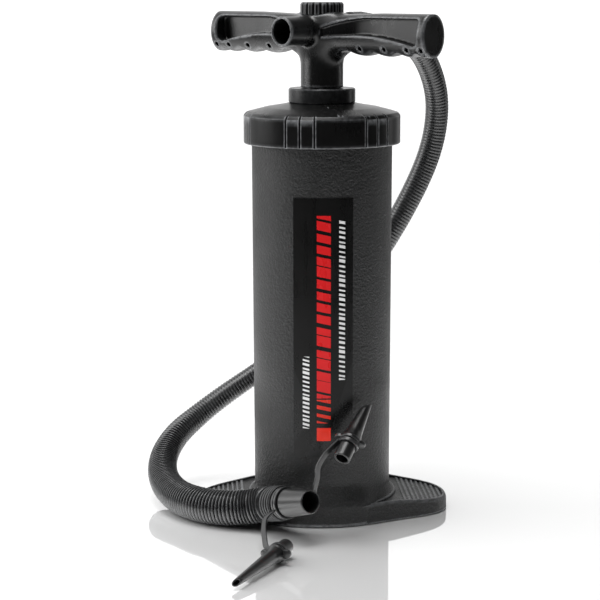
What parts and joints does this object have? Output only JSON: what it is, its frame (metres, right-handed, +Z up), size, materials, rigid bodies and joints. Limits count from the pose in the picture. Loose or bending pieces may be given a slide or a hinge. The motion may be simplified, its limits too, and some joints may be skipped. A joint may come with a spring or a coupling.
{
  "type": "double action hand pump",
  "caption": "Upright double-action hand air pump: ribbed foot plate, tall cylinder, screw cap, T-handle with ports, corrugated hose and tethered nozzle adapters.",
  "frame": {"origin": "centre of the cylinder's axis on the floor, under the foot plate", "axes": "+Z up along the rod, +X along the right-hand grip, -Y the way the open intake port points; the foot plate's long axis is turned 48 degrees from +X about +Z"},
  "size_m": [0.2359, 0.3191, 0.37],
  "materials": {
    "moulded": "fine moulded grain, charcoal",
    "cap_black": "satin black",
    "rod_black": "smooth black",
    "rubber": "soft black",
    "hose_black": "flexible corrugated plastic",
    "label_black": "printed film with plain red and white bars",
    "inner_grey": "natural moulded",
    "valve_amber": "soft translucent rubber",
    "screw_steel": "plated"
  },
  "bodies": {
    "base": {"barrel": "moulded", "barrel_label": "label_black", "cap": "cap_black", "cap_gasket": "rubber", "gland_collar": "cap_black", "gland_ring": "inner_grey"},
    "swivel": {"rod_bush": "inner_grey", "rod_seal": "rubber", "hose": "hose_black", "hose_end_cuff": "rubber", "hose_nozzle": "rod_black"},
    "handle": {"handle": "moulded", "hub_knob": "cap_black", "knob_seal": "rubber", "rod_outer_tube": "rod_black", "rod_inner_tube": "inner_grey", "piston_lower_plate": "inner_grey", "piston_upper_plate": "inner_grey", "piston_lower_seal": "rubber", "piston_upper_seal": "rubber", "piston_core": "inner_grey", "piston_screw": "screw_steel", "hose_upper_cuff": "rubber"},
    "intake_valve_upper": {"valve_intake_upper": "valve_amber"},
    "outlet_valve_upper": {"valve_outlet_upper": "valve_amber"},
    "intake_valve_lower": {"valve_intake_lower": "valve_amber"},
    "outlet_valve_lower": {"valve_outlet_lower": "valve_amber"},
    "wide_adapter": {"tether_wide": "rod_black", "adapter_wide": "rod_black"},
    "slim_adapter": {"tether_slim": "rod_black", "adapter_slim": "rod_black"}
  },
  "joints": [
    {"name": "handle_swivel", "type": "hinge", "parent": "base", "child": "swivel", "pos_m": [0, 0, 0.295], "axis": [0, 0, 1], "range_deg": [0, 50]},
    {"name": "pump_stroke", "type": "slide", "parent": "swivel", "child": "handle", "axis": [0, 0, 1], "range_m": [0, 0.2], "deforming": ["hose"]},
    {"name": "intake_upper_lift", "type": "slide", "parent": "handle", "child": "intake_valve_upper", "axis": [0, 0, 1], "range_m": [0, 0.0012], "stiffness_N_per_m": 40},
    {"name": "outlet_upper_lift", "type": "slide", "parent": "handle", "child": "outlet_valve_upper", "axis": [0, 0, -1], "range_m": [0, 0.0012], "stiffness_N_per_m": 40},
    {"name": "intake_lower_lift", "type": "slide", "parent": "handle", "child": "intake_valve_lower", "axis": [0, 0, -1], "range_m": [0, 0.0012], "stiffness_N_per_m": 40},
    {"name": "outlet_lower_lift", "type": "slide", "parent": "handle", "child": "outlet_valve_lower", "axis": [0, 0, 1], "range_m": [0, 0.0012], "stiffness_N_per_m": 40},
    {"name": "wide_adapter_swing", "type": "hinge", "parent": "swivel", "child": "wide_adapter", "pos_m": [0.02494, -0.07045, 0.0224], "axis": [0.9636, -0.0967, 0.2492], "range_deg": [0, 60]},
    {"name": "slim_adapter_swing", "type": "hinge", "parent": "swivel", "child": "slim_adapter", "pos_m": [0.02494, -0.07045, 0.0224], "axis": [0.9636, -0.0967, 0.2492], "range_deg": [-60, 0]}
  ]
}
